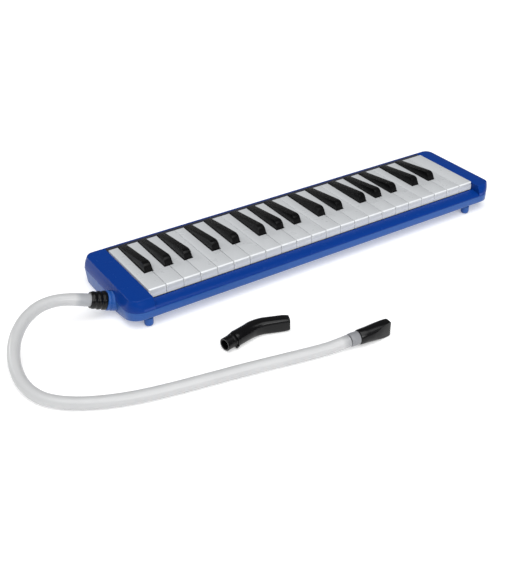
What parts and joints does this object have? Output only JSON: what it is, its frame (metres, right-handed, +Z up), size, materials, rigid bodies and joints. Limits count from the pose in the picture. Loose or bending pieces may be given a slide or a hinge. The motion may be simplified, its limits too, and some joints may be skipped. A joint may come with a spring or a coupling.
{
  "type": "melodica",
  "caption": "Keyboard wind instrument with piano-style keys in a moulded case, a flexible blowing hose with its mouthpiece, and a loose short mouthpiece.",
  "frame": {"origin": "on the resting surface, at the middle of the footprint of the instrument and its loose short mouthpiece, the hose left out", "axes": "+X along the keyboard to the treble end, +Y to the rear of the instrument, +Z up"},
  "size_m": [0.5888, 0.2534, 0.0402],
  "materials": {
    "cover_blue": "glossy deep blue moulded ABS",
    "case_blue": "satin blue moulded ABS",
    "white_keys": "satin white moulded ABS",
    "black_keys": "polished black moulded ABS",
    "soft_black": "satin black moulded ABS",
    "hose_clear": "milky translucent vinyl",
    "grey_insert": "grey moulded plastic",
    "felt": "dark wool felt",
    "steel": "drawn steel",
    "brass": "rolled brass",
    "grey_plastic": "grey moulded ABS",
    "rubber": "black foam rubber"
  },
  "bodies": {
    "case": {"top_cover": "cover_blue", "bottom_case": "case_blue", "rear_felt_strip": "felt", "foot_left": "case_blue", "foot_right": "case_blue", "case_screw_left": "steel", "case_screw_right": "steel", "drain_spring": "steel", "key_frame": "grey_plastic", "key_pivot_shaft": "steel", "key_spring_comb": "steel", "front_felt_strip": "felt", "cell_block": "grey_plastic", "reed_plate": "brass", "chest_gasket": "rubber", "wind_chest": "grey_plastic", "port_tube": "case_blue"},
    "key_f1_lever": {"key_f1": "white_keys"},
    "key_f_sharp1_lever": {"key_f_sharp1": "black_keys"},
    "key_g1_lever": {"key_g1": "white_keys"},
    "key_g_sharp1_lever": {"key_g_sharp1": "black_keys"},
    "key_a1_lever": {"key_a1": "white_keys"},
    "key_a_sharp1_lever": {"key_a_sharp1": "black_keys"},
    "key_b1_lever": {"key_b1": "white_keys"},
    "key_c2_lever": {"key_c2": "white_keys"},
    "key_c_sharp2_lever": {"key_c_sharp2": "black_keys"},
    "key_d2_lever": {"key_d2": "white_keys"},
    "key_d_sharp2_lever": {"key_d_sharp2": "black_keys"},
    "key_e2_lever": {"key_e2": "white_keys"},
    "key_f2_lever": {"key_f2": "white_keys"},
    "key_f_sharp2_lever": {"key_f_sharp2": "black_keys"},
    "key_g2_lever": {"key_g2": "white_keys"},
    "key_g_sharp2_lever": {"key_g_sharp2": "black_keys"},
    "key_a2_lever": {"key_a2": "white_keys"},
    "key_a_sharp2_lever": {"key_a_sharp2": "black_keys"},
    "key_b2_lever": {"key_b2": "white_keys"},
    "key_c3_lever": {"key_c3": "white_keys"},
    "key_c_sharp3_lever": {"key_c_sharp3": "black_keys"},
    "key_d3_lever": {"key_d3": "white_keys"},
    "key_d_sharp3_lever": {"key_d_sharp3": "black_keys"},
    "key_e3_lever": {"key_e3": "white_keys"},
    "key_f3_lever": {"key_f3": "white_keys"},
    "key_f_sharp3_lever": {"key_f_sharp3": "black_keys"},
    "key_g3_lever": {"key_g3": "white_keys"},
    "key_g_sharp3_lever": {"key_g_sharp3": "black_keys"},
    "key_a3_lever": {"key_a3": "white_keys"},
    "key_a_sharp3_lever": {"key_a_sharp3": "black_keys"},
    "key_b3_lever": {"key_b3": "white_keys"},
    "key_c4_lever": {"key_c4": "white_keys"},
    "key_c_sharp4_lever": {"key_c_sharp4": "black_keys"},
    "key_d4_lever": {"key_d4": "white_keys"},
    "key_d_sharp4_lever": {"key_d_sharp4": "black_keys"},
    "key_e4_lever": {"key_e4": "white_keys"},
    "key_f4_lever": {"key_f4": "white_keys"},
    "hose_set": {"hose_connector": "soft_black", "hose": "hose_clear", "hose_insert": "grey_insert", "hose_mouthpiece": "soft_black"},
    "short_mouthpiece_piece": {"short_mouthpiece": "soft_black"},
    "drain_plunger": {"drain_button": "cover_blue"}
  },
  "joints": [
    {"name": "hose_pull", "type": "slide", "parent": "case", "child": "hose_set", "axis": [-0.9452, 0.14, 0.2951], "range_m": [0, 0.03]},
    {"name": "short_mouthpiece_lift", "type": "slide", "parent": "case", "child": "short_mouthpiece_piece", "axis": [0, 0, 1], "range_m": [0, 0.05]},
    {"name": "drain_press", "type": "slide", "parent": "case", "child": "drain_plunger", "axis": [-1, 0, 0], "range_m": [0, 0.002], "stiffness_N_per_m": 300, "springref_m": -0.003},
    {"name": "key_f1_press", "type": "hinge", "parent": "case", "child": "key_f1_lever", "pos_m": [0, 0.0635, 0.0255], "axis": [1, 0, 0], "range_deg": [0, 3.2], "stiffness_Nm_per_rad": 0.1, "springref_deg": -20.05},
    {"name": "key_f_sharp1_press", "type": "hinge", "parent": "case", "child": "key_f_sharp1_lever", "pos_m": [0, 0.0635, 0.0255], "axis": [1, 0, 0], "range_deg": [0, 3.2], "stiffness_Nm_per_rad": 0.1, "springref_deg": -20.05},
    {"name": "key_g1_press", "type": "hinge", "parent": "case", "child": "key_g1_lever", "pos_m": [0, 0.0635, 0.0255], "axis": [1, 0, 0], "range_deg": [0, 3.2], "stiffness_Nm_per_rad": 0.1, "springref_deg": -20.05},
    {"name": "key_g_sharp1_press", "type": "hinge", "parent": "case", "child": "key_g_sharp1_lever", "pos_m": [0, 0.0635, 0.0255], "axis": [1, 0, 0], "range_deg": [0, 3.2], "stiffness_Nm_per_rad": 0.1, "springref_deg": -20.05},
    {"name": "key_a1_press", "type": "hinge", "parent": "case", "child": "key_a1_lever", "pos_m": [0, 0.0635, 0.0255], "axis": [1, 0, 0], "range_deg": [0, 3.2], "stiffness_Nm_per_rad": 0.1, "springref_deg": -20.05},
    {"name": "key_a_sharp1_press", "type": "hinge", "parent": "case", "child": "key_a_sharp1_lever", "pos_m": [0, 0.0635, 0.0255], "axis": [1, 0, 0], "range_deg": [0, 3.2], "stiffness_Nm_per_rad": 0.1, "springref_deg": -20.05},
    {"name": "key_b1_press", "type": "hinge", "parent": "case", "child": "key_b1_lever", "pos_m": [0, 0.0635, 0.0255], "axis": [1, 0, 0], "range_deg": [0, 3.2], "stiffness_Nm_per_rad": 0.1, "springref_deg": -20.05},
    {"name": "key_c2_press", "type": "hinge", "parent": "case", "child": "key_c2_lever", "pos_m": [0, 0.0635, 0.0255], "axis": [1, 0, 0], "range_deg": [0, 3.2], "stiffness_Nm_per_rad": 0.1, "springref_deg": -20.05},
    {"name": "key_c_sharp2_press", "type": "hinge", "parent": "case", "child": "key_c_sharp2_lever", "pos_m": [0, 0.0635, 0.0255], "axis": [1, 0, 0], "range_deg": [0, 3.2], "stiffness_Nm_per_rad": 0.1, "springref_deg": -20.05},
    {"name": "key_d2_press", "type": "hinge", "parent": "case", "child": "key_d2_lever", "pos_m": [0, 0.0635, 0.0255], "axis": [1, 0, 0], "range_deg": [0, 3.2], "stiffness_Nm_per_rad": 0.1, "springref_deg": -20.05},
    {"name": "key_d_sharp2_press", "type": "hinge", "parent": "case", "child": "key_d_sharp2_lever", "pos_m": [0, 0.0635, 0.0255], "axis": [1, 0, 0], "range_deg": [0, 3.2], "stiffness_Nm_per_rad": 0.1, "springref_deg": -20.05},
    {"name": "key_e2_press", "type": "hinge", "parent": "case", "child": "key_e2_lever", "pos_m": [0, 0.0635, 0.0255], "axis": [1, 0, 0], "range_deg": [0, 3.2], "stiffness_Nm_per_rad": 0.1, "springref_deg": -20.05},
    {"name": "key_f2_press", "type": "hinge", "parent": "case", "child": "key_f2_lever", "pos_m": [0, 0.0635, 0.0255], "axis": [1, 0, 0], "range_deg": [0, 3.2], "stiffness_Nm_per_rad": 0.1, "springref_deg": -20.05},
    {"name": "key_f_sharp2_press", "type": "hinge", "parent": "case", "child": "key_f_sharp2_lever", "pos_m": [0, 0.0635, 0.0255], "axis": [1, 0, 0], "range_deg": [0, 3.2], "stiffness_Nm_per_rad": 0.1, "springref_deg": -20.05},
    {"name": "key_g2_press", "type": "hinge", "parent": "case", "child": "key_g2_lever", "pos_m": [0, 0.0635, 0.0255], "axis": [1, 0, 0], "range_deg": [0, 3.2], "stiffness_Nm_per_rad": 0.1, "springref_deg": -20.05},
    {"name": "key_g_sharp2_press", "type": "hinge", "parent": "case", "child": "key_g_sharp2_lever", "pos_m": [0, 0.0635, 0.0255], "axis": [1, 0, 0], "range_deg": [0, 3.2], "stiffness_Nm_per_rad": 0.1, "springref_deg": -20.05},
    {"name": "key_a2_press", "type": "hinge", "parent": "case", "child": "key_a2_lever", "pos_m": [0, 0.0635, 0.0255], "axis": [1, 0, 0], "range_deg": [0, 3.2], "stiffness_Nm_per_rad": 0.1, "springref_deg": -20.05},
    {"name": "key_a_sharp2_press", "type": "hinge", "parent": "case", "child": "key_a_sharp2_lever", "pos_m": [0, 0.0635, 0.0255], "axis": [1, 0, 0], "range_deg": [0, 3.2], "stiffness_Nm_per_rad": 0.1, "springref_deg": -20.05},
    {"name": "key_b2_press", "type": "hinge", "parent": "case", "child": "key_b2_lever", "pos_m": [0, 0.0635, 0.0255], "axis": [1, 0, 0], "range_deg": [0, 3.2], "stiffness_Nm_per_rad": 0.1, "springref_deg": -20.05},
    {"name": "key_c3_press", "type": "hinge", "parent": "case", "child": "key_c3_lever", "pos_m": [0, 0.0635, 0.0255], "axis": [1, 0, 0], "range_deg": [0, 3.2], "stiffness_Nm_per_rad": 0.1, "springref_deg": -20.05},
    {"name": "key_c_sharp3_press", "type": "hinge", "parent": "case", "child": "key_c_sharp3_lever", "pos_m": [0, 0.0635, 0.0255], "axis": [1, 0, 0], "range_deg": [0, 3.2], "stiffness_Nm_per_rad": 0.1, "springref_deg": -20.05},
    {"name": "key_d3_press", "type": "hinge", "parent": "case", "child": "key_d3_lever", "pos_m": [0, 0.0635, 0.0255], "axis": [1, 0, 0], "range_deg": [0, 3.2], "stiffness_Nm_per_rad": 0.1, "springref_deg": -20.05},
    {"name": "key_d_sharp3_press", "type": "hinge", "parent": "case", "child": "key_d_sharp3_lever", "pos_m": [0, 0.0635, 0.0255], "axis": [1, 0, 0], "range_deg": [0, 3.2], "stiffness_Nm_per_rad": 0.1, "springref_deg": -20.05},
    {"name": "key_e3_press", "type": "hinge", "parent": "case", "child": "key_e3_lever", "pos_m": [0, 0.0635, 0.0255], "axis": [1, 0, 0], "range_deg": [0, 3.2], "stiffness_Nm_per_rad": 0.1, "springref_deg": -20.05},
    {"name": "key_f3_press", "type": "hinge", "parent": "case", "child": "key_f3_lever", "pos_m": [0, 0.0635, 0.0255], "axis": [1, 0, 0], "range_deg": [0, 3.2], "stiffness_Nm_per_rad": 0.1, "springref_deg": -20.05},
    {"name": "key_f_sharp3_press", "type": "hinge", "parent": "case", "child": "key_f_sharp3_lever", "pos_m": [0, 0.0635, 0.0255], "axis": [1, 0, 0], "range_deg": [0, 3.2], "stiffness_Nm_per_rad": 0.1, "springref_deg": -20.05},
    {"name": "key_g3_press", "type": "hinge", "parent": "case", "child": "key_g3_lever", "pos_m": [0, 0.0635, 0.0255], "axis": [1, 0, 0], "range_deg": [0, 3.2], "stiffness_Nm_per_rad": 0.1, "springref_deg": -20.05},
    {"name": "key_g_sharp3_press", "type": "hinge", "parent": "case", "child": "key_g_sharp3_lever", "pos_m": [0, 0.0635, 0.0255], "axis": [1, 0, 0], "range_deg": [0, 3.2], "stiffness_Nm_per_rad": 0.1, "springref_deg": -20.05},
    {"name": "key_a3_press", "type": "hinge", "parent": "case", "child": "key_a3_lever", "pos_m": [0, 0.0635, 0.0255], "axis": [1, 0, 0], "range_deg": [0, 3.2], "stiffness_Nm_per_rad": 0.1, "springref_deg": -20.05},
    {"name": "key_a_sharp3_press", "type": "hinge", "parent": "case", "child": "key_a_sharp3_lever", "pos_m": [0, 0.0635, 0.0255], "axis": [1, 0, 0], "range_deg": [0, 3.2], "stiffness_Nm_per_rad": 0.1, "springref_deg": -20.05},
    {"name": "key_b3_press", "type": "hinge", "parent": "case", "child": "key_b3_lever", "pos_m": [0, 0.0635, 0.0255], "axis": [1, 0, 0], "range_deg": [0, 3.2], "stiffness_Nm_per_rad": 0.1, "springref_deg": -20.05},
    {"name": "key_c4_press", "type": "hinge", "parent": "case", "child": "key_c4_lever", "pos_m": [0, 0.0635, 0.0255], "axis": [1, 0, 0], "range_deg": [0, 3.2], "stiffness_Nm_per_rad": 0.1, "springref_deg": -20.05},
    {"name": "key_c_sharp4_press", "type": "hinge", "parent": "case", "child": "key_c_sharp4_lever", "pos_m": [0, 0.0635, 0.0255], "axis": [1, 0, 0], "range_deg": [0, 3.2], "stiffness_Nm_per_rad": 0.1, "springref_deg": -20.05},
    {"name": "key_d4_press", "type": "hinge", "parent": "case", "child": "key_d4_lever", "pos_m": [0, 0.0635, 0.0255], "axis": [1, 0, 0], "range_deg": [0, 3.2], "stiffness_Nm_per_rad": 0.1, "springref_deg": -20.05},
    {"name": "key_d_sharp4_press", "type": "hinge", "parent": "case", "child": "key_d_sharp4_lever", "pos_m": [0, 0.0635, 0.0255], "axis": [1, 0, 0], "range_deg": [0, 3.2], "stiffness_Nm_per_rad": 0.1, "springref_deg": -20.05},
    {"name": "key_e4_press", "type": "hinge", "parent": "case", "child": "key_e4_lever", "pos_m": [0, 0.0635, 0.0255], "axis": [1, 0, 0], "range_deg": [0, 3.2], "stiffness_Nm_per_rad": 0.1, "springref_deg": -20.05},
    {"name": "key_f4_press", "type": "hinge", "parent": "case", "child": "key_f4_lever", "pos_m": [0, 0.0635, 0.0255], "axis": [1, 0, 0], "range_deg": [0, 3.2], "stiffness_Nm_per_rad": 0.1, "springref_deg": -20.05}
  ]
}
